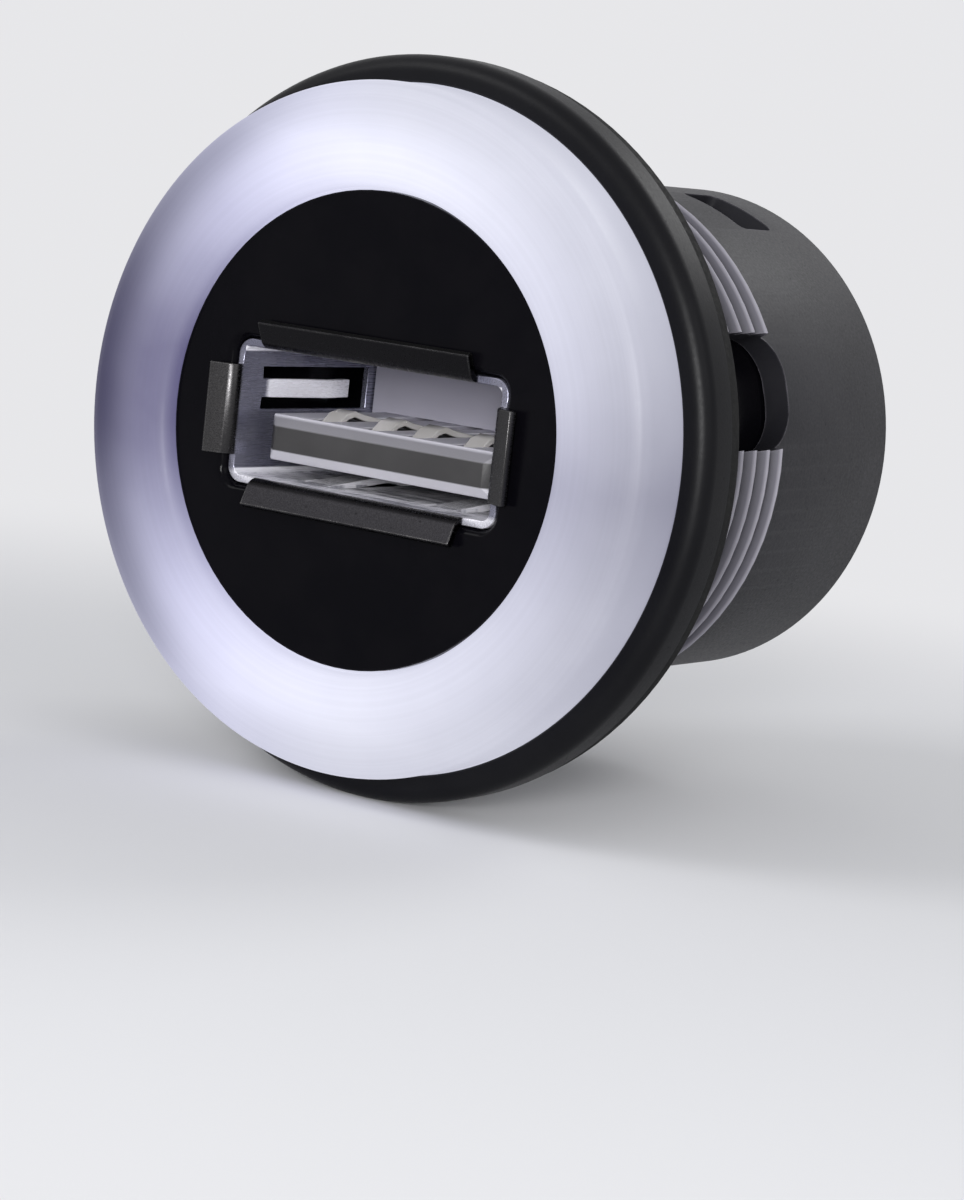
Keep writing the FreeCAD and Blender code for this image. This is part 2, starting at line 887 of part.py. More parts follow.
def snap_ring():
    start = cover_rear + fit_gap
    ring = tube(snap_ring_outer_radius, snap_ring_inner_radius, start, start + snap_ring_thickness)
    reach = 2 * snap_ring_outer_radius
    half = math.radians(snap_gap_angle / 2)
    wedge = face_of([
        (0, start, 0),
        (reach * math.sin(half), start, -reach * math.cos(half)),
        (-reach * math.sin(half), start, -reach * math.cos(half)),
    ]).extrude(point(0, snap_ring_thickness, 0))
    return ring.cut(wedge)


def assembly():
    parts = {
        "panel_gasket": panel_gasket(),
        "bezel_collar": bezel_collar(),
        "light_ring": light_ring(),
        "led_board": led_board(),
        "led_wire_positive": led_wire(1),
        "led_wire_negative": led_wire(-1),
        "front_insert": front_insert(),
        "insert_o_ring": insert_o_ring(),
        "threaded_barrel": threaded_barrel(),
        "usb_shell": usb_shell(),
        "usb_insulator": usb_insulator(),
        "main_board": main_board(),
        "esd_array": esd_array(),
        "rear_header": rear_header(),
        "rear_cover": rear_cover(),
        "snap_ring": snap_ring(),
    }
    for name, x in contact_places.items():
        parts[name] = contact(x)
    for index, x in enumerate(header_pin_places()):
        parts["header_pin_" + str(index + 1)] = header_pin(x)
    led_step = 360 / led_count
    for index in range(led_count):
        parts["ring_led_" + str(index + 1)] = turned(chip_led(), (index + 0.5) * led_step)
    for index in range(resistor_count):
        angle = (2 * index + 1) * led_step
        parts["led_resistor_" + str(index + 1)] = turned(led_resistor(), angle)
    return parts


os.makedirs("parts", exist_ok=True)
for node, shape in assembly().items():
    shape.exportStep("parts/" + node + ".step")
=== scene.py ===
import math

import bmesh
import bpy
from mathutils import Matrix, Vector


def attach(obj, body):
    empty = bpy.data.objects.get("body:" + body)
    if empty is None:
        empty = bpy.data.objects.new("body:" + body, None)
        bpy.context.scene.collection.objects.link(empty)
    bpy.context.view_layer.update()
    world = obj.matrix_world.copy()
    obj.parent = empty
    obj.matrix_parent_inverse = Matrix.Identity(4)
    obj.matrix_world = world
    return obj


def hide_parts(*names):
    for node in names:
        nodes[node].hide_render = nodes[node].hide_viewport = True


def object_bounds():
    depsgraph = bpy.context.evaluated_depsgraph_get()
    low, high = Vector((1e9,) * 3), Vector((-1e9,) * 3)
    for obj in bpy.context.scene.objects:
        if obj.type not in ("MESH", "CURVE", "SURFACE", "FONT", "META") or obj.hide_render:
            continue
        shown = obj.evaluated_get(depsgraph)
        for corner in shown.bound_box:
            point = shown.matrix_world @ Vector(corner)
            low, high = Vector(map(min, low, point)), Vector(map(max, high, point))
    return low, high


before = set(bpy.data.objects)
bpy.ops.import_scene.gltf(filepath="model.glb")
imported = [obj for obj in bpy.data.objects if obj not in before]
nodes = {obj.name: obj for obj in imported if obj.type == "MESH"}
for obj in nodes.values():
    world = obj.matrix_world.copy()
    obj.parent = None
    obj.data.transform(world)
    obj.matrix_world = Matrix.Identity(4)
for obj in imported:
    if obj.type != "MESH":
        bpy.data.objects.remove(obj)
cad_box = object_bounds()

# Threaded barrel
# The real barrel is moulded in dark grey glass-filled nylon, with an M22 thread of
# one millimetre pitch behind the collar and a plain rear half that the nut passes.
# The index slot and the two latch windows are cored out by slides of the mould.
MM = 0.001
TURN_STEPS = 144
SHARP_ANGLE = 35

# Sizes in millimetres, and places along the axis measured from the panel seat
BORE_RADIUS = 9.3
REAR_RADIUS = 10.4
BARREL_END = 19.0
RECESS_RADIUS = 10.05
RECESS_FLOOR = -1.0
FLANGE_RADIUS = 13.82
FLANGE_FRONT = -1.6
FLANGE_REAR = -0.6
GROOVE_RADIUS = 9.75
GROOVE_START = 17.6
GROOVE_END = 18.5

CREST_RADIUS = 11.0
THREAD_START = 0.3
THREAD_END = 10.0
THREAD_PITCH = 1.0
THREAD_TURNS = 10.1
STEPS_PER_TURN = 72
RIDGE_START = THREAD_START - 0.1
RIDGE_SINK = 0.04
RIDGE_FLANK = [(10.3, 0.41), (10.4, 0.405), (10.95, 0.085), (CREST_RADIUS, 0.03)]


def turned_solid(bm, profile, steps=TURN_STEPS):
    """Turn a closed profile of (radius, y) corners in millimetres about the Y axis."""
    corners = [bm.verts.new((radius * MM, y * MM, 0)) for radius, y in profile]
    sides = [bm.edges.new((a, b)) for a, b in zip(corners, corners[1:] + corners[:1])]
    bmesh.ops.spin(
        bm, geom=corners + sides, cent=(0, 0, 0), axis=(0, 1, 0), dvec=(0, 0, 0),
        angle=2 * math.pi, steps=steps, use_merge=True, use_duplicate=False,
    )


def smooth_over(mesh):
    """Shade a mesh smooth and leave its harder edges sharp."""
    mesh.shade_smooth()
    mesh.set_sharp_from_angle(angle=math.radians(SHARP_ANGLE))


def made_piece(name, bm):
    """Turn a bmesh into a smooth object of the scene, with its faces outwards."""
    bmesh.ops.recalc_face_normals(bm, faces=bm.faces)
    mesh = bpy.data.meshes.new(name)
    bm.to_mesh(mesh)
    bm.free()
    smooth_over(mesh)
    piece = bpy.data.objects.new(name, mesh)
    bpy.context.scene.collection.objects.link(piece)
    return piece


def wall_cutter(width, start, end, corner, degrees):
    """Block with rounded corners that cuts through the barrel wall at an angle."""
    bm = bmesh.new()
    reach = CREST_RADIUS + 1
    middle = Matrix.Translation((reach / 2 * MM, (start + end) / 2 * MM, 0))
    size = Matrix.Diagonal((reach * MM, (end - start) * MM, width * MM, 1))
    bmesh.ops.create_cube(bm, size=1, matrix=middle @ size)
    radial = [e for e in bm.edges if abs(e.verts[0].co.x - e.verts[1].co.x) > reach / 2 * MM]
    bmesh.ops.bevel(
        bm, geom=radial, offset=corner * MM, offset_type="OFFSET", segments=8,
        profile=0.5, affect="EDGES", material=-1,
    )
    turn = Matrix.Rotation(math.radians(-degrees), 4, "Y")
    bmesh.ops.transform(bm, matrix=turn, verts=bm.verts)
    return made_piece("wall_cutter", bm)


def combine(piece, tool, operation):
    """Join a tool piece to a piece or cut it away, then drop the tool."""
    change = piece.modifiers.new("combine", "BOOLEAN")
    change.operation = operation
    change.solver = "EXACT"
    change.object = tool
    bpy.context.view_layer.update()
    graph = bpy.context.evaluated_depsgraph_get()
    mesh = bpy.data.meshes.new_from_object(piece.evaluated_get(graph))
    piece.modifiers.clear()
    piece.data = mesh
    bpy.data.objects.remove(tool)


def thread_limit(y):
    """Largest thread radius at a place along the barrel, with a lead at both ends."""
    lead = min(y - THREAD_START, THREAD_END - y)
    return min(CREST_RADIUS, REAR_RADIUS - RIDGE_SINK + max(lead, 0))


barrel_mesh = bmesh.new()
turned_solid(barrel_mesh, [
    (RECESS_RADIUS, FLANGE_FRONT),
    (FLANGE_RADIUS - 0.1, FLANGE_FRONT),
    (FLANGE_RADIUS, FLANGE_FRONT + 0.1),
    (FLANGE_RADIUS, FLANGE_REAR - 0.05),
    (FLANGE_RADIUS - 0.05, FLANGE_REAR),
    (REAR_RADIUS, FLANGE_REAR),
    (REAR_RADIUS, BARREL_END - 0.25),
    (REAR_RADIUS - 0.08, BARREL_END - 0.1),
    (REAR_RADIUS - 0.25, BARREL_END),
    (BORE_RADIUS, BARREL_END),
    (BORE_RADIUS, GROOVE_END),
    (GROOVE_RADIUS, GROOVE_END),
    (GROOVE_RADIUS, GROOVE_START),
    (BORE_RADIUS, GROOVE_START),
    (BORE_RADIUS, RECESS_FLOOR),
    (RECESS_RADIUS, RECESS_FLOOR),
])
barrel = made_piece("barrel_moulding", barrel_mesh)

# The ridge is wound as a helix and then trimmed to the lead at both ends
thread_mesh = bmesh.new()
ridge = [(radius, -half) for radius, half in RIDGE_FLANK] + RIDGE_FLANK[::-1]
section = thread_mesh.faces.new([
    thread_mesh.verts.new((radius * MM, (RIDGE_START + y) * MM, 0)) for radius, y in ridge
])
bmesh.ops.spin(
    thread_mesh, geom=[section], cent=(0, 0, 0), axis=(0, 1, 0),
    dvec=(0, THREAD_PITCH / STEPS_PER_TURN * MM, 0), angle=2 * math.pi * THREAD_TURNS,
    steps=round(STEPS_PER_TURN * THREAD_TURNS), use_merge=False, use_duplicate=False,
)
for vert in thread_mesh.verts:
    radius = math.hypot(vert.co.x, vert.co.z)
    limit = thread_limit(vert.co.y / MM) * MM
    if radius > limit:
        vert.co.x *= limit / radius
        vert.co.z *= limit / radius
combine(barrel, made_piece("thread_ridge", thread_mesh), "UNION")
index_slot = wall_cutter(width=4.7, start=3.2, end=10.7, corner=1.8, degrees=16)
combine(barrel, index_slot, "DIFFERENCE")
for window_angle in (70, 250):
    window = wall_cutter(width=3.4, start=13.8, end=16.3, corner=0.4, degrees=window_angle)
    combine(barrel, window, "DIFFERENCE")
smooth_over(barrel.data)


def set_inputs(tree, node, values):
    """Give inputs of a node a plain value, or link them to an output."""
    for key, value in values.items():
        if isinstance(value, bpy.types.NodeSocket):
            tree.links.new(value, node.inputs[key])
        else:
            node.inputs[key].default_value = value


def add_node(tree, kind, settings, values):
    """Add a node with its settings and the values or links of its inputs."""
    node = tree.nodes.new(kind)
    for key, value in settings.items():
        setattr(node, key, value)
    set_inputs(tree, node, values)
    return node


def combined(tree, operation, first, second=0.0):
    """Result of a mathematical operation on one or two values."""
    node = add_node(tree, "ShaderNodeMath", {"operation": operation}, {0: first, 1: second})
    return node.outputs[0]


def vector_result(tree, operation, first, second=(0, 0, 0)):
    """Result of a vector operation, which is a value for a length or a dot product."""
    node = add_node(
        tree, "ShaderNodeVectorMath", {"operation": operation}, {0: first, 1: second},
    )
    return node.outputs["Value" if operation in ("LENGTH", "DOT_PRODUCT") else "Vector"]


def scaled(tree, vector, factor):
    """A vector or colour made longer or stronger by a factor."""
    node = add_node(
        tree, "ShaderNodeVectorMath", {"operation": "SCALE"}, {0: vector, "Scale": factor},
    )
    return node.outputs["Vector"]


def millimetres(tree):
    """Object coordinates in millimetres."""
    place = add_node(tree, "ShaderNodeTexCoord", {}, {})
    return scaled(tree, place.outputs["Object"], 1 / MM)


def xyz(tree, place):
    """The three coordinates of a place as values."""
    return add_node(tree, "ShaderNodeSeparateXYZ", {}, {0: place}).outputs


def distance_from_axis(tree, place):
    """Distance from the Y axis, round which the barrel and the rings are turned."""
    return vector_result(tree, "LENGTH", vector_result(tree, "MULTIPLY", place, (1, 0, 1)))


def noise(tree, place, per_mm, detail, roughness=0.55):
    """Noise value between 0 and 1 with a number of features per millimetre."""
    node = add_node(tree, "ShaderNodeTexNoise", {}, {
        "Vector": place, "Scale": per_mm, "Detail": detail, "Roughness": roughness,
    })
    return node.outputs["Fac"]


def ranged(tree, value, low, high, new_low=0.0, new_high=1.0, smooth=False):
    """Map a value from one range to another, held at its ends."""
    node = add_node(
        tree, "ShaderNodeMapRange",
        {"interpolation_type": "SMOOTHSTEP" if smooth else "LINEAR", "clamp": True},
        {0: value, 1: low, 2: high, 3: new_low, 4: new_high},
    )
    return node.outputs[0]


def blended(tree, share, first, second):
    """Mix two colours by a share of the second."""
    node = add_node(
        tree, "ShaderNodeMix", {"data_type": "RGBA"}, {0: share, 6: first, 7: second},
    )
    return node.outputs[2]


def new_group(name, inputs, outputs):
    """Start a shader node group and give back its tree, entry and exit nodes."""
    tree = bpy.data.node_groups.new(name, "ShaderNodeTree")
    for label, value in inputs.items():
        socket = tree.interface.new_socket(
            label, in_out="INPUT", socket_type="NodeSocketFloat",
        )
        socket.default_value = value
    for label in outputs:
        tree.interface.new_socket(label, in_out="OUTPUT", socket_type="NodeSocketFloat")
    return tree, tree.nodes.new("NodeGroupInput"), tree.nodes.new("NodeGroupOutput")


# Fine grain of a moulded or cast surface, with broad uneven patches and dust specks
grain, grain_in, grain_out = new_group(
    "surface_grain", {"Grain per mm": 6.0, "Patches per mm": 0.25},
    ["Grain", "Patches", "Specks"],
)
spot = millimetres(grain)
cells = add_node(
    grain, "ShaderNodeTexVoronoi", {}, {"Vector": spot, "Scale": 1.6, "Randomness": 1.0},
)
set_inputs(grain, grain_out, {
    "Grain": noise(grain, spot, grain_in.outputs["Grain per mm"], 4.0, 0.65),
    "Patches": ranged(
        grain, noise(grain, spot, grain_in.outputs["Patches per mm"], 3.0), 0.35, 0.65,
        smooth=True,
    ),
    "Specks": ranged(grain, cells.outputs["Distance"], 0.05, 0.11, 1.0, 0.0, smooth=True),
})

# Worn or flashed edges, found from how the rounded normal leaves the flat one
edges, edges_in, edges_out = new_group("edge_wear", {"Breaks per mm": 1.2}, ["Edge"])
rounded = add_node(edges, "ShaderNodeBevel", {"samples": 6}, {"Radius": 0.14 * MM})
flat = add_node(edges, "ShaderNodeNewGeometry", {}, {})
agreement = vector_result(
    edges, "DOT_PRODUCT", rounded.outputs["Normal"], flat.outputs["Normal"],
)
broken = noise(edges, millimetres(edges), edges_in.outputs["Breaks per mm"], 5.0, 0.7)
set_inputs(edges, edges_out, {
    "Edge": combined(
        edges, "MULTIPLY", ranged(edges, agreement, 0.97, 0.75),
        ranged(edges, broken, 0.35, 0.6, 0.25, 1.0),
    ),
})

# Rings left by turning, polishing or the flow of plastic round the axis
rings, rings_in, rings_out = new_group(
    "turning_rings", {"Rings per mm": 3.0, "Lines per mm": 3.0}, ["Rings", "Lines"],
)
spot = millimetres(rings)
for count, mark, position in (
    ("Rings per mm", "Rings", distance_from_axis(rings, spot)),
    ("Lines per mm", "Lines", xyz(rings, spot)["Y"]),
):
    line = add_node(rings, "ShaderNodeTexNoise", {"noise_dimensions": "1D"}, {
        "W": position, "Scale": rings_in.outputs[count], "Detail": 3.0, "Roughness": 0.6,
    })
    set_inputs(rings, rings_out, {mark: line.outputs["Fac"]})


def new_material(name):
    """Start a material and give it back with its node tree and its shader."""
    material = bpy.data.materials.new(name)
    material.use_nodes = True
    tree = material.node_tree
    return material, tree, tree.nodes["Principled BSDF"]


def group_node(tree, group, values):
    """Place a shared group in a material with the material's own values."""
    return add_node(tree, "ShaderNodeGroup", {"node_tree": group}, values)


def bumped(tree, shader, height, depth):
    """Raise the surface by a height map, with its depth in millimetres."""
    bump = add_node(
        tree, "ShaderNodeBump", {}, {"Height": height, "Distance": depth * MM, "Strength": 1.0},
    )
    set_inputs(tree, shader, {"Normal": bump.outputs["Normal"]})


def paint(piece, material):
    """Give a piece its only material."""
    piece.data.materials.clear()
    piece.data.materials.append(material)


def moulded(name, colour, patch, edge, roughness, grain_per_mm, depth, specular=0.5,
            line_share=0.0):
    """Moulded plastic or rubber: grain, uneven patches, dust specks and worn edges."""
    material, tree, shader = new_material(name)
    surface = group_node(tree, grain, {"Grain per mm": grain_per_mm})
    wear = group_node(tree, edges, {})
    marks = group_node(tree, rings, {"Rings per mm": 5.0, "Lines per mm": 5.0})
    body = blended(tree, surface.outputs["Patches"], (*colour, 1), (*patch, 1))
    uneven = ranged(tree, surface.outputs["Grain"], 0.3, 0.7, *roughness)
    dust = combined(tree, "MULTIPLY", surface.outputs["Specks"], 0.12)
    lines = combined(tree, "MULTIPLY", marks.outputs["Lines"], line_share)
    set_inputs(tree, shader, {
        "Base Color": blended(tree, wear.outputs["Edge"], body, (*edge, 1)),
        "Roughness": combined(tree, "ADD", uneven, dust),
        "Specular IOR Level": specular,
    })
    bumped(tree, shader, combined(tree, "ADD", surface.outputs["Grain"], lines), depth)
    return material


barrel_plastic = moulded(
    "barrel_nylon", colour=(0.010, 0.0098, 0.0125), patch=(0.015, 0.0148, 0.018),
    edge=(0.10, 0.096, 0.11), roughness=(0.42, 0.58), grain_per_mm=9.0, depth=0.005,
    specular=0.2, line_share=0.6,
)
# The thread's flanks are painted paler than the plain rear as painted light, and its crests
# paler still as a painted highlight
tree = barrel_plastic.node_tree
shader = tree.nodes["Principled BSDF"]
reach = distance_from_axis(tree, millimetres(tree))
inside_flange = ranged(tree, reach, CREST_RADIUS + 0.2, CREST_RADIUS + 0.3, 0.85, 0.0)
flank_painted_light = ranged(tree, reach, REAR_RADIUS + 0.05, CREST_RADIUS - 0.1)
crest_painted_highlight = ranged(tree, reach, CREST_RADIUS - 0.12, CREST_RADIUS - 0.02)
plain = shader.inputs["Base Color"].links[0].from_socket
# Painted light on the thread, kept off the flange
pale = blended(
    tree, combined(tree, "MULTIPLY", flank_painted_light, inside_flange), plain, (0.135, 0.13, 0.155, 1),
)
set_inputs(tree, shader, {"Base Color": blended(
    tree, combined(tree, "MULTIPLY", crest_painted_highlight, inside_flange), pale, (0.30, 0.29, 0.33, 1),
)})
paint(barrel, barrel_plastic)
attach(barrel, "root")
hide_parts("threaded_barrel")

# Light ring
# The real ring is moulded in milky acrylic and carries the light of the chips behind
# it. It is held under the collar, with a slightly domed crown, rounded edges and a
# low bead round the face. It glows most at top and bottom and least at the left.
WIDE_TURN_STEPS = 192
RING_INNER = 9.35
RING_OUTER = 13.43
RING_RIM = -4.78
RING_DOME = 0.12
INNER_ROUND = 0.45
OUTER_ROUND = 0.6
CROWN_STEPS = 8
BEAD_HEIGHT = 0.08
BEAD_SLOPE = 0.07
BEAD_REAR = -3.55
BEAD_FRONT = -4.07
FOOT_RADIUS = 13.72
FOOT_FRONT = -2.0
HOLLOW_INNER = 10.2
HOLLOW_OUTER = 12.6
HOLLOW_FLOOR = -3.5
NOTCH_WIDTH = 3.0
NOTCH_DEPTH = 1.7
NOTCH_REACH = 10.25


def arc(centre, radius, start, finish, steps):
    """Points in millimetres along an arc of a turned profile, angles in degrees."""
    points = []
    for index in range(steps + 1):
        turn = math.radians(start + (finish - start) * index / steps)
        points.append((
            centre[0] + radius * math.cos(turn), centre[1] + radius * math.sin(turn),
        ))
    return points


ring_middle = (RING_INNER + RING_OUTER) / 2
ring_half = (RING_OUTER - RING_INNER) / 2
crown_start = RING_INNER + INNER_ROUND
crown_end = RING_OUTER - OUTER_ROUND
ring_crown = []
for step in range(CROWN_STEPS + 1):
    across = crown_start + (crown_end - crown_start) * step / CROWN_STEPS
    rise = 1 - ((across - ring_middle) / ring_half) ** 2
    ring_crown.append((across, RING_RIM - RING_DOME * rise))
ring_mesh = bmesh.new()
turned_solid(ring_mesh, [
    (RING_INNER, FLANGE_FRONT),
    (RING_INNER, BEAD_REAR),
    (RING_INNER - BEAD_HEIGHT, BEAD_REAR - BEAD_SLOPE),
    (RING_INNER - BEAD_HEIGHT, BEAD_FRONT + BEAD_SLOPE),
    (RING_INNER, BEAD_FRONT),
    *arc((crown_start, RING_RIM + INNER_ROUND), INNER_ROUND, 180, 270, 5)[:-1],
    *ring_crown,
    *arc((crown_end, RING_RIM + OUTER_ROUND), OUTER_ROUND, 270, 360, 6)[1:],
    (RING_OUTER, FOOT_FRONT),
    (FOOT_RADIUS, FOOT_FRONT),
    (FOOT_RADIUS, FLANGE_FRONT),
    (HOLLOW_OUTER, FLANGE_FRONT),
    (HOLLOW_OUTER, HOLLOW_FLOOR),
    (HOLLOW_INNER, HOLLOW_FLOOR),
    (HOLLOW_INNER, FLANGE_FRONT),
], WIDE_TURN_STEPS)
ring = made_piece("light_ring_diffuser", ring_mesh)

# The wires leave the ring's hollow through a notch at the bottom
notch_mesh = bmesh.new()
notch_middle = Vector((0, FLANGE_FRONT - NOTCH_DEPTH / 2, -NOTCH_REACH / 2)) * MM
notch_size = Vector((NOTCH_WIDTH, NOTCH_DEPTH, NOTCH_REACH)) * MM
bmesh.ops.create_cube(
    notch_mesh, size=1,
    matrix=Matrix.Translation(notch_middle) @ Matrix.Diagonal((*notch_size, 1)),
)
combine(ring, made_piece("wire_notch", notch_mesh), "DIFFERENCE")
smooth_over(ring.data)

diffuser, tree, shader = new_material("ring_milky_acrylic")
place = millimetres(tree)
x, _, z = xyz(tree, place)
reach = distance_from_axis(tree, place)
left_side = vector_result(tree, "DOT_PRODUCT", place, (-1, 0, 0.1))

# The dim places lie a little above the middle at the left and below it at the right
tilted = combined(tree, "ADD", z, combined(tree, "MULTIPLY", x, 0.065))
squared = combined(tree, "MULTIPLY", tilted, tilted)
height = combined(tree, "SQRT", combined(tree, "ADD", squared, 1.0))
vertical = combined(
    tree, "POWER", ranged(tree, height, 1.0, 11.2),
    ranged(tree, x, -4.0, 9.0, 1.6, 0.85, smooth=True),
)
side_dimming = ranged(tree, x, -8.0, 10.0, 1.0, 0.62, smooth=True)
dim = combined(tree, "MULTIPLY", combined(tree, "SUBTRACT", 1.0, vertical), side_dimming)
clouds = ranged(tree, noise(tree, place, 0.16, 2.0), 0.3, 0.7, -0.04, 0.04)
lit = combined(tree, "ADD", combined(tree, "SUBTRACT", 1.0, dim), clouds)
share = combined(tree, "ADD", lit, ranged(tree, z, -12.0, 12.0, -0.04, 0.04))
cool_side = ranged(tree, x, 2.0, -9.0, smooth=True)
bright = blended(tree, cool_side, (0.73, 0.74, 0.86, 1), (0.73, 0.735, 0.97, 1))
glow = blended(tree, share, (0.060, 0.053, 0.138, 1), bright)

# The outer edge at the left gets a painted shade: a darker colour and a weaker glow there
left_rim_painted_shade = combined(
    tree, "MULTIPLY", ranged(tree, reach, 10.8, 12.9, smooth=True),
    ranged(tree, left_side, 3.5, 9.0, smooth=True),
)
inner_gain = ranged(tree, left_side, -9.0, 8.0, 1.05, 1.26, smooth=True)
rim_fall = combined(
    tree, "MULTIPLY", ranged(tree, reach, 9.6, 13.2, inner_gain, 0.76, smooth=True),
    ranged(tree, left_rim_painted_shade, 0.0, 1.0, 1.0, 0.76),
)
marks = group_node(tree, rings, {"Rings per mm": 5.0, "Lines per mm": 3.0})
streaks = combined(
    tree, "MULTIPLY", rim_fall, ranged(tree, marks.outputs["Rings"], 0.3, 0.7, 0.975, 1.02),
)
surface = group_node(tree, grain, {"Grain per mm": 8.0, "Patches per mm": 0.4})
milk = blended(
    tree, surface.outputs["Patches"], (0.090, 0.090, 0.098, 1), (0.082, 0.082, 0.090, 1),
)
set_inputs(tree, shader, {
    "Base Color": blended(tree, left_rim_painted_shade, milk, (0.018, 0.018, 0.022, 1)),
    "Roughness": ranged(tree, surface.outputs["Grain"], 0.3, 0.7, 0.34, 0.46),
    "Specular IOR Level": 0.12,
    "Emission Color": scaled(tree, glow, streaks),
    "Emission Strength": 1.0,
})
bumped(tree, shader, marks.outputs["Rings"], 0.0015)
paint(ring, diffuser)
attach(ring, "root")
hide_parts("light_ring")

# Bezel collar
# The real collar is a black moulded band pressed over the barrel's flange. Its lip
# holds the ring's foot, and its front edge is rounded over.
COLLAR_RADIUS = 14.59
COLLAR_BORE = 13.87
COLLAR_LIP = 13.48
COLLAR_FRONT = -2.35
COLLAR_ROUND = 0.7
COLLAR_BREAK = 0.06
collar_mesh = bmesh.new()
turned_solid(collar_mesh, [
    (COLLAR_LIP, COLLAR_FRONT + COLLAR_BREAK),
    (COLLAR_LIP + COLLAR_BREAK, COLLAR_FRONT),
    *arc(
        (COLLAR_RADIUS - COLLAR_ROUND, COLLAR_FRONT + COLLAR_ROUND),
        COLLAR_ROUND, 270, 360, 8,
    ),
    (COLLAR_RADIUS, FLANGE_REAR - COLLAR_BREAK),
    (COLLAR_RADIUS - COLLAR_BREAK, FLANGE_REAR),
    (COLLAR_BORE, FLANGE_REAR),
    (COLLAR_BORE, FOOT_FRONT),
    (COLLAR_LIP, FOOT_FRONT),
], WIDE_TURN_STEPS)
collar = made_piece("bezel_collar_band", collar_mesh)
paint(collar, moulded(
    "collar_black", colour=(0.0025, 0.0025, 0.0035), patch=(0.0035, 0.0035, 0.0045),
    edge=(0.016, 0.016, 0.019), roughness=(0.34, 0.46), grain_per_mm=10.0, depth=0.004,
    specular=0.12, line_share=0.3,
))
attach(collar, "root")
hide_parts("bezel_collar")

# Panel gasket
# The real gasket is a flat washer punched from black sheet rubber. It is stretched
# over the thread and lies against the barrel's flange.
paint(nodes["panel_gasket"], moulded(
    "gasket_rubber", colour=(0.0045, 0.0045, 0.005), patch=(0.0065, 0.0065, 0.0065),
    edge=(0.014, 0.014, 0.014), roughness=(0.62, 0.82), grain_per_mm=5.0, depth=0.012,
    specular=0.15,
))

# Front insert with the black face
# The real insert is one moulding: a polished black face with the port's opening, and
# a tube behind it with four ribs and two latch arms that snap into the barrel.


def softened(name, node_name, width, angle=32):
    """Copy of a solid whose hard edges are rounded over by a width in millimetres."""
    bm = bmesh.new()
    bm.from_mesh(nodes[node_name].data)
    bmesh.ops.remove_doubles(bm, verts=bm.verts, dist=0.0005 * MM)
    bmesh.ops.dissolve_limit(
        bm, angle_limit=math.radians(0.5), use_dissolve_boundaries=False,
        verts=bm.verts, edges=bm.edges, delimit={"NORMAL"},
    )
    hard = [
        e for e in bm.edges
        if len(e.link_faces) == 2 and e.calc_face_angle(0) > math.radians(angle)
    ]
    bmesh.ops.bevel(
        bm, geom=hard, offset=width * MM, offset_type="OFFSET", segments=2,
        profile=0.5, affect="EDGES", clamp_overlap=True, material=-1,
    )
    piece = made_piece(name, bm)
    # Flat walls are shaded flat beside the rounded edges
    flats = piece.modifiers.new("true_flats", "WEIGHTED_NORMAL")
    flats.weight = 100
    flats.keep_sharp = True
    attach(piece, "root")
    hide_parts(node_name)
    return piece


face = softened("front_insert_moulding", "front_insert", width=0.06, angle=50)
face_plastic, tree, shader = new_material("face_polished_black")
surface = group_node(tree, grain, {"Grain per mm": 3.0, "Patches per mm": 0.35})
wear = group_node(tree, edges, {})
marks = group_node(tree, rings, {"Rings per mm": 7.0, "Lines per mm": 4.0})
body = blended(
    tree, surface.outputs["Patches"], (0.0015, 0.0014, 0.0024, 1), (0.0022, 0.002, 0.003, 1),
)
worn_edge = combined(tree, "MULTIPLY", wear.outputs["Edge"], 0.6)
hairlines = ranged(tree, marks.outputs["Rings"], 0.45, 0.75, 0.0, 0.05)
smears = ranged(tree, surface.outputs["Patches"], 0.0, 1.0, 0.14, 0.22)
set_inputs(tree, shader, {
    "Base Color": blended(tree, worn_edge, body, (0.03, 0.03, 0.034, 1)),
    "Roughness": combined(tree, "ADD", hairlines, smears),
    "Specular IOR Level": 0.05,
})
bumped(tree, shader, surface.outputs["Grain"], 0.0012)
paint(face, face_plastic)

# Insert seal
# The real seal is a ground rubber cord ring in the insert's groove, squeezed a
# little against the barrel's bore.
SEAL_RADIUS = 8.88
SEAL_PLACE = 1.4
CORD_RADIUS = 0.41
CORD_SIDES = 24
seal_mesh = bmesh.new()
cord_round = arc((SEAL_RADIUS, SEAL_PLACE), CORD_RADIUS, 0, 360, CORD_SIDES)[:-1]
turned_solid(seal_mesh, cord_round)
seal = made_piece("insert_seal_cord", seal_mesh)
paint(seal, moulded(
    "seal_rubber", colour=(0.020, 0.019, 0.019), patch=(0.028, 0.027, 0.027),
    edge=(0.04, 0.04, 0.04), roughness=(0.45, 0.62), grain_per_mm=6.0, depth=0.006,
    specular=0.4,
))
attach(seal, "root")
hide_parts("insert_o_ring")

# Port shell
# The real shell is stamped from nickel-plated steel sheet and folded into a box. Its
# mouth is flared into four lips, and six spring fingers are bent inward.
PORT_WIDTH = 12.5
PORT_HEIGHT = 5.12
shell = softened("port_shell_stamping", "usb_shell", width=0.05, angle=25)


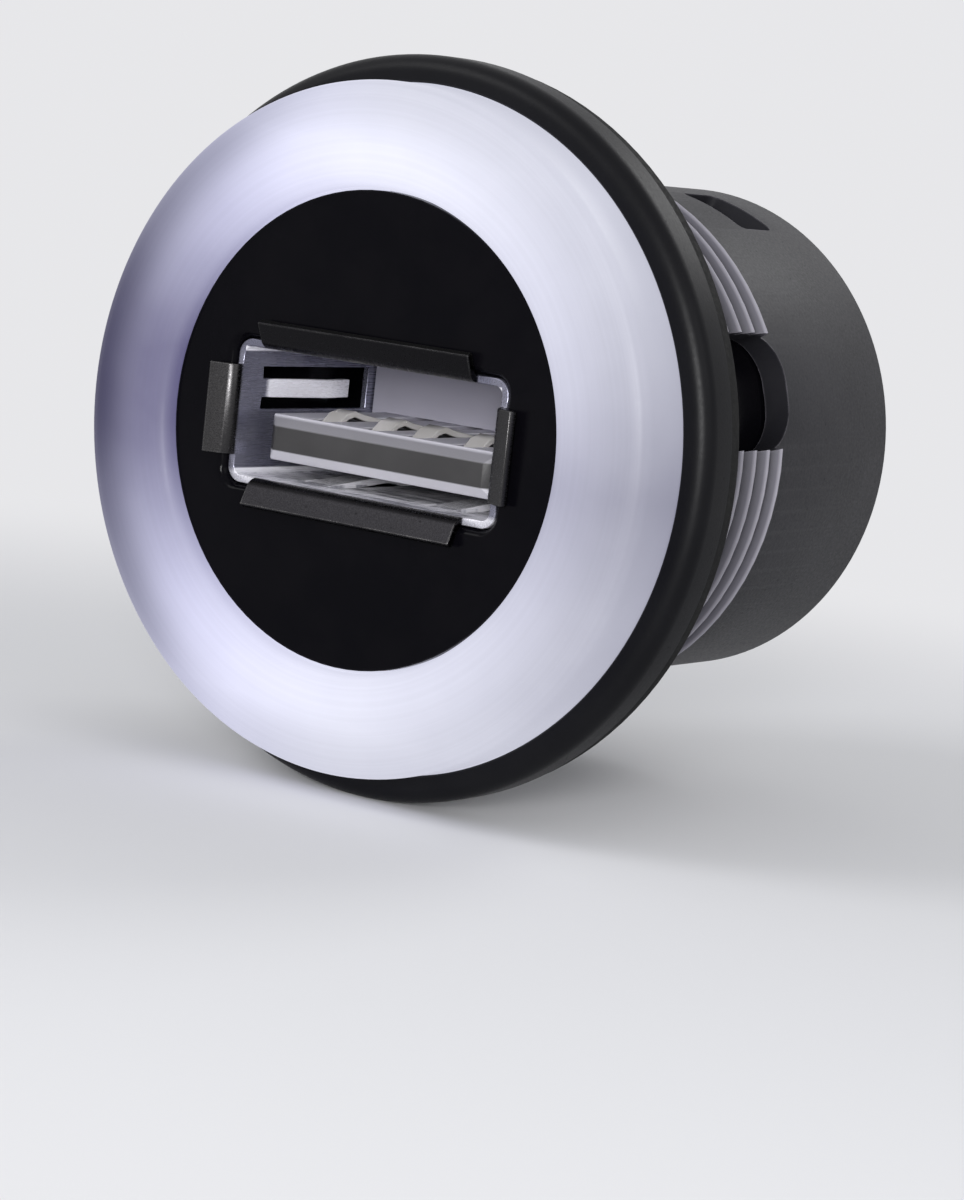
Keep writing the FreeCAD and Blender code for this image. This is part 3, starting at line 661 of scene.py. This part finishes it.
def plated(name, colour, stain, roughness, lines=(40.0, 1.2, 40.0), depth=0.003,
           metallic=1.0):
    """Plated or bare metal with drawn lines along the sheet and a thin tarnish."""
    material, tree, shader = new_material(name)
    drawn = noise(tree, vector_result(tree, "MULTIPLY", millimetres(tree), lines), 0.5, 3.0, 0.6)
    surface = group_node(tree, grain, {"Grain per mm": 4.0, "Patches per mm": 0.55})
    uneven = ranged(tree, drawn, 0.3, 0.7, *roughness)
    dust = combined(tree, "MULTIPLY", surface.outputs["Specks"], 0.15)
    set_inputs(tree, shader, {
        "Base Color": blended(tree, surface.outputs["Patches"], (*colour, 1), (*stain, 1)),
        "Roughness": combined(tree, "ADD", uneven, dust),
        "Metallic": metallic,
    })
    scratches = combined(tree, "MULTIPLY", drawn, 0.6)
    bumped(tree, shader, combined(tree, "ADD", scratches, surface.outputs["Grain"]), depth)
    return material


nickel = plated(
    "port_nickel", colour=(0.26, 0.26, 0.33), stain=(0.19, 0.19, 0.26),
    roughness=(0.20, 0.38), depth=0.002,
)
# The lips get a painted dark reflection, darkest on the top and bottom lips, and their edges are
# paler, partly from wear and partly as painted highlight. The spring fingers and streaky patches
# of the lower wall get a painted bright reflection and are less metallic there
tree = nickel.node_tree
shader = tree.nodes["Principled BSDF"]
place = millimetres(tree)
x, y, z = xyz(tree, place)
lips = ranged(tree, y, -3.86, -4.0)
half_width = combined(tree, "ABSOLUTE", x)
half_height = combined(tree, "ABSOLUTE", z)
width_limit = PORT_WIDTH / 2 - 0.015
height_limit = PORT_HEIGHT / 2 - 0.015
# Painted highlight on the spring fingers, which stand in from the walls
finger_painted_highlight = combined(
    tree, "MULTIPLY", ranged(tree, half_width, width_limit, width_limit - 0.02),
    ranged(tree, half_height, height_limit, height_limit - 0.02),
)
# Painted bright reflection in streaky patches on the lower wall
painted_reflection_patches = ranged(
    tree, noise(tree, vector_result(tree, "MULTIPLY", place, (0.5, 1.6, 1.0)), 0.8, 2.0),
    0.38, 0.56, 0.42, 1.0, smooth=True,
)
lower_wall_painted_reflection = combined(tree, "MULTIPLY", ranged(tree, z, -2.3, -2.5), painted_reflection_patches)
painted_bright_metal = combined(tree, "MAXIMUM", finger_painted_highlight, lower_wall_painted_reflection)
plain = shader.inputs["Base Color"].links[0].from_socket
bright = blended(tree, painted_bright_metal, plain, (0.90, 0.89, 0.96, 1))
wear = group_node(tree, edges, {})
# Painted dark reflection on the lips, darker on the top and bottom lips, with paler edges that
# are partly wear and partly painted highlight
side_lips = ranged(tree, half_height, 2.5, 2.75, 1.0, 0.0)
sheet = blended(tree, side_lips, (0.014, 0.0135, 0.015, 1), (0.040, 0.039, 0.040, 1))
worn_edge = combined(tree, "MULTIPLY", wear.outputs["Edge"], 0.7)
lip_painted_reflection_and_edges = blended(tree, worn_edge, sheet, (0.24, 0.235, 0.23, 1))
inner_metal = ranged(tree, painted_bright_metal, 0.0, 1.0, 0.68, 0.15)
set_inputs(tree, shader, {
    "Base Color": blended(tree, lips, bright, lip_painted_reflection_and_edges),
    "Metallic": combined(tree, "MAXIMUM", inner_metal, lips),
})
paint(shell, nickel)

# Port tongue and base
# The real tongue is moulded in dark olive glass-filled plastic together with the
# block at the back of the port, with four grooves for the contacts.
tongue = softened("port_tongue_moulding", "usb_insulator", width=0.05)
# Its pale edges are partly edge wear and partly painted highlight
olive = moulded(
    "tongue_olive", colour=(0.030, 0.029, 0.030), patch=(0.038, 0.037, 0.038),
    edge=(0.24, 0.235, 0.25), roughness=(0.34, 0.50), grain_per_mm=8.0, depth=0.006,
    specular=0.3,
)
# Painted light: the block at the back and the tongue's upper side are painted paler as if lit,
# and the tongue's upper and lower front edges get a painted highlight
tree = olive.node_tree
shader = tree.nodes["Principled BSDF"]
_, y, z = xyz(tree, millimetres(tree))
front_end = ranged(tree, y, -2.4, -2.6)
upper_edge_painted_highlight = combined(tree, "MULTIPLY", ranged(tree, z, -0.53, -0.47, 0.0, 0.8), front_end)
lower_edge_painted_highlight = combined(tree, "MULTIPLY", ranged(tree, z, -1.44, -1.50, 0.0, 0.8), front_end)
painted = shader.inputs["Base Color"].links[0].from_socket
for mask, colour in (
    (upper_edge_painted_highlight, (0.24, 0.235, 0.26, 1)),
    (ranged(tree, z, -0.20, -0.08), (0.56, 0.55, 0.61, 1)),
    (ranged(tree, y, 3.5, 4.5), (0.33, 0.32, 0.38, 1)),
    (lower_edge_painted_highlight, (0.62, 0.61, 0.66, 1)),
):
    painted = blended(tree, mask, painted, colour)
set_inputs(tree, shader, {"Base Color": painted})
paint(tongue, olive)

# Port contacts
# The real contacts are stamped spring strips, gold plated where the plug wipes them,
# with a hump above the tongue and a straight tail through the board.
contact_gold = plated(
    "contact_gold", colour=(0.93, 0.90, 0.87), stain=(0.87, 0.84, 0.80),
    roughness=(0.12, 0.24), lines=(30.0, 2.0, 30.0), depth=0.0006, metallic=0.50,
)
for contact_name in (
    "contact_vbus", "contact_data_minus", "contact_data_plus", "contact_ground",
):
    spring = softened(contact_name + "_spring", contact_name, width=0.05)
    paint(spring, contact_gold)

# Light board and its chips
# The real board is a white printed ring glued on the flange. It carries eight chip
# lamps with yellow phosphor under clear resin, and four black resistors with tin ends.
TIN = (0.66, 0.65, 0.62, 1)
paint(nodes["led_board"], moulded(
    "light_board_white", colour=(0.70, 0.70, 0.68), patch=(0.64, 0.64, 0.62),
    edge=(0.50, 0.46, 0.34), roughness=(0.34, 0.48), grain_per_mm=4.0, depth=0.004,
))

phosphor, tree, shader = new_material("chip_lamp_resin")
resin = ranged(tree, xyz(tree, millimetres(tree))["Y"], -2.8, -2.74, 1.0, 0.0)
surface = group_node(tree, grain, {"Grain per mm": 12.0})
body = blended(tree, surface.outputs["Patches"], (0.80, 0.80, 0.78, 1), (0.74, 0.74, 0.72, 1))
set_inputs(tree, shader, {
    "Base Color": blended(tree, resin, body, (0.83, 0.68, 0.16, 1)),
    "Roughness": ranged(tree, resin, 0.0, 1.0, 0.45, 0.12),
})
bumped(tree, shader, surface.outputs["Grain"], 0.003)
for number in range(1, 9):
    paint(nodes["ring_led_" + str(number)], phosphor)

# The resistors lie along the diagonals of the board, with a cap at both ends
resistor, tree, shader = new_material("resistor_chip")
x, _, z = xyz(tree, millimetres(tree))
sideways = combined(tree, "ABSOLUTE", x)
upright = combined(tree, "ABSOLUTE", z)
from_diagonal = combined(tree, "ABSOLUTE", combined(tree, "SUBTRACT", sideways, upright))
cap = ranged(tree, from_diagonal, 0.66, 0.69)
surface = group_node(tree, grain, {"Grain per mm": 12.0})
ceramic = blended(
    tree, surface.outputs["Patches"], (0.02, 0.02, 0.022, 1), (0.03, 0.03, 0.03, 1),
)
set_inputs(tree, shader, {
    "Base Color": blended(tree, cap, ceramic, TIN),
    "Metallic": cap,
    "Roughness": ranged(tree, surface.outputs["Grain"], 0.3, 0.7, 0.22, 0.38),
})
bumped(tree, shader, surface.outputs["Grain"], 0.004)
for number in range(1, 5):
    paint(nodes["led_resistor_" + str(number)], resistor)

# Board wires
# The real wires are stranded leads in soft insulation, red for plus and black for
# minus, soldered to the light board and to the main board.
paint(nodes["led_wire_positive"], moulded(
    "wire_red", colour=(0.42, 0.022, 0.020), patch=(0.36, 0.018, 0.018),
    edge=(0.50, 0.06, 0.05), roughness=(0.36, 0.50), grain_per_mm=5.0, depth=0.005,
))
paint(nodes["led_wire_negative"], moulded(
    "wire_black", colour=(0.016, 0.016, 0.017), patch=(0.024, 0.024, 0.025),
    edge=(0.04, 0.04, 0.04), roughness=(0.36, 0.50), grain_per_mm=5.0, depth=0.005,
))

# Main board and its chip
# The real board is green glass-epoxy with a woven ground under the solder mask. The
# protection chip is black epoxy with six tinned legs.
board_mask, tree, shader = new_material("board_green_mask")
place = millimetres(tree)
across_board = add_node(
    tree, "ShaderNodeMapping", {}, {"Vector": place, "Rotation": (math.pi / 2, 0, 0)},
)
weave = add_node(tree, "ShaderNodeTexBrick", {}, {
    "Vector": across_board.outputs["Vector"], "Scale": 2.4, "Mortar Size": 0.04,
    "Color1": (0.018, 0.15, 0.055, 1), "Color2": (0.022, 0.17, 0.065, 1),
    "Mortar": (0.012, 0.10, 0.04, 1),
})
surface = group_node(tree, grain, {"Grain per mm": 5.0})
tracks = ranged(tree, noise(tree, place, 0.3, 0.0), 0.50, 0.505)
covered = combined(tree, "MULTIPLY", tracks, 0.5)
set_inputs(tree, shader, {
    "Base Color": blended(tree, covered, weave.outputs["Color"], (0.035, 0.22, 0.09, 1)),
    "Roughness": ranged(tree, surface.outputs["Grain"], 0.3, 0.7, 0.26, 0.40),
})
bumped(tree, shader, combined(tree, "ADD", weave.outputs["Fac"], tracks), 0.01)
paint(nodes["main_board"], board_mask)

CHIP_MIDDLE = -5.0
chip, tree, shader = new_material("protection_chip")
from_middle = combined(tree, "SUBTRACT", xyz(tree, millimetres(tree))["Z"], CHIP_MIDDLE)
leg = ranged(tree, combined(tree, "ABSOLUTE", from_middle), 0.64, 0.66)
surface = group_node(tree, grain, {"Grain per mm": 14.0})
epoxy = blended(
    tree, surface.outputs["Patches"], (0.018, 0.018, 0.019, 1), (0.026, 0.026, 0.027, 1),
)
set_inputs(tree, shader, {
    "Base Color": blended(tree, leg, epoxy, TIN),
    "Metallic": leg,
    "Roughness": ranged(tree, leg, 0.0, 1.0, 0.62, 0.26),
})
bumped(tree, shader, surface.outputs["Grain"], 0.008)
paint(nodes["esd_array"], chip)

# Rear header
# The real header is a shrouded connector moulded in ivory nylon, with two polarising
# notches and six square tinned pins pushed through its floor.
header = softened("rear_header_shroud", "rear_header", width=0.07)
paint(header, moulded(
    "header_ivory", colour=(0.60, 0.57, 0.47), patch=(0.56, 0.53, 0.43),
    edge=(0.70, 0.67, 0.58), roughness=(0.38, 0.52), grain_per_mm=6.0, depth=0.005,
))
pin_tin = plated(
    "header_pin_tin", colour=(0.70, 0.69, 0.66), stain=(0.60, 0.59, 0.56),
    roughness=(0.22, 0.36),
)
for number in range(1, 7):
    paint(nodes["header_pin_" + str(number)], pin_tin)

# Rear cover
# The real cover is a black moulded disc with a skirt that holds the board in the
# insert, with a window for the header.
cover = softened("rear_cover_disc", "rear_cover", width=0.08)
paint(cover, moulded(
    "cover_black", colour=(0.020, 0.020, 0.022), patch=(0.028, 0.028, 0.030),
    edge=(0.06, 0.06, 0.064), roughness=(0.45, 0.62), grain_per_mm=8.0, depth=0.007,
    specular=0.4,
))

# Snap ring
# The real ring is bent from flat spring steel with an oiled dark finish, and springs
# into the barrel's groove behind the cover.
snap = softened("snap_ring_spring", "snap_ring", width=0.05)
paint(snap, plated(
    "spring_steel", colour=(0.20, 0.195, 0.19), stain=(0.13, 0.125, 0.12),
    roughness=(0.28, 0.44), lines=(6.0, 40.0, 6.0), depth=0.004,
))

# Stage
# A plain pale floor under the collar that fades into the pale background, four soft
# lamps round the object, and the camera where the photograph was taken from.
PALE = (0.80, 0.80, 0.82, 1)
FLOOR_PAINT = (0.76, 0.76, 0.78, 1)
FLOOR_HALF_SIDE = 1500
FADE_START = 34.0
FADE_END = 88.0
floor_mesh = bmesh.new()
bmesh.ops.create_grid(floor_mesh, x_segments=1, y_segments=1, size=FLOOR_HALF_SIDE * MM)
bmesh.ops.translate(floor_mesh, verts=floor_mesh.verts, vec=(0, 0, cad_box[0].z))
floor = made_piece("stage_floor", floor_mesh)


def seen_directly(tree):
    """1 for rays from the camera and for those that metal or glass send on."""
    ray = add_node(tree, "ShaderNodeLightPath", {}, {}).outputs
    from_camera_or_metal = combined(
        tree, "MAXIMUM", ray["Is Camera Ray"], ray["Is Glossy Ray"],
    )
    return combined(tree, "MAXIMUM", from_camera_or_metal, ray["Is Transmission Ray"])


floor_paint, tree, shader = new_material("stage_pale_paint")
set_inputs(tree, shader, {
    "Base Color": FLOOR_PAINT, "Roughness": 0.9, "Specular IOR Level": 0.1,
})
from_object = vector_result(tree, "LENGTH", millimetres(tree))
far = ranged(tree, from_object, FADE_START, FADE_END, smooth=True)
pale_light = add_node(tree, "ShaderNodeEmission", {}, {"Color": PALE, "Strength": 1.0})
faded = add_node(tree, "ShaderNodeMixShader", {}, {
    0: combined(tree, "MULTIPLY", far, seen_directly(tree)),
    1: shader.outputs["BSDF"], 2: pale_light.outputs["Emission"],
})
set_inputs(tree, tree.nodes["Material Output"], {"Surface": faded.outputs["Shader"]})
paint(floor, floor_paint)

world = bpy.data.worlds.new("studio")
world.use_nodes = True
bpy.context.scene.world = world
tree = world.node_tree
tree.nodes.clear()
room = add_node(
    tree, "ShaderNodeBackground", {}, {"Color": (0.95, 0.97, 1, 1), "Strength": 0.42},
)
backdrop = add_node(tree, "ShaderNodeBackground", {}, {"Color": PALE, "Strength": 1.0})
studio = add_node(tree, "ShaderNodeMixShader", {}, {
    0: seen_directly(tree), 1: room.outputs["Background"], 2: backdrop.outputs["Background"],
})
add_node(tree, "ShaderNodeOutputWorld", {}, {"Surface": studio.outputs["Shader"]})


def soft_lamp(name, place, size, power):
    """Square lamp that looks at the object, its place and size in millimetres."""
    data = bpy.data.lights.new(name, "AREA")
    data.shape = "SQUARE"
    data.size = size * MM
    data.energy = power
    lamp = bpy.data.objects.new(name, data)
    bpy.context.scene.collection.objects.link(lamp)
    middle = Vector(place) * MM
    aim = middle.to_track_quat("Z", "Y").to_matrix().to_4x4()
    lamp.matrix_world = Matrix.Translation(middle) @ aim


soft_lamp("key_lamp", (-170, -210, 210), size=150, power=0.28)
soft_lamp("port_lamp", (125, -205, 42), size=60, power=0.54)
soft_lamp("side_lamp", (260, -60, 120), size=140, power=0.10)
soft_lamp("rear_lamp", (60, 240, 200), size=140, power=0.22)

CAMERA_SIDE = math.radians(34.76)
CAMERA_HEIGHT = math.radians(7.93)
CAMERA_ROLL = math.radians(6.33)
CAMERA_DISTANCE = 130.8
CAMERA_SHIFT = (4.724, -6.482)
CAMERA_LENS = 102
FILM_WIDTH = 36
FACE_PLANE = -4.2
back = Vector((
    math.sin(CAMERA_SIDE) * math.cos(CAMERA_HEIGHT),
    -math.cos(CAMERA_SIDE) * math.cos(CAMERA_HEIGHT),
    math.sin(CAMERA_HEIGHT),
))
level_right = Vector((math.cos(CAMERA_SIDE), math.sin(CAMERA_SIDE), 0))
level_up = back.cross(level_right)
right = level_right * math.cos(CAMERA_ROLL) + level_up * math.sin(CAMERA_ROLL)
up = back.cross(right)
eye = (
    Vector((0, FACE_PLANE, 0)) + back * CAMERA_DISTANCE
    + right * CAMERA_SHIFT[0] + up * CAMERA_SHIFT[1]
) * MM
camera_data = bpy.data.cameras.new("photo_camera")
camera_data.lens = CAMERA_LENS
camera_data.sensor_width = FILM_WIDTH
camera_data.clip_start = 0.005
camera_data.clip_end = 10
camera = bpy.data.objects.new("photo_camera", camera_data)
bpy.context.scene.collection.objects.link(camera)
axes = Matrix((right, up, back)).transposed().to_4x4()
camera.matrix_world = Matrix.Translation(eye) @ axes
bpy.context.scene.camera = camera
bpy.context.scene.view_settings.view_transform = "Standard"
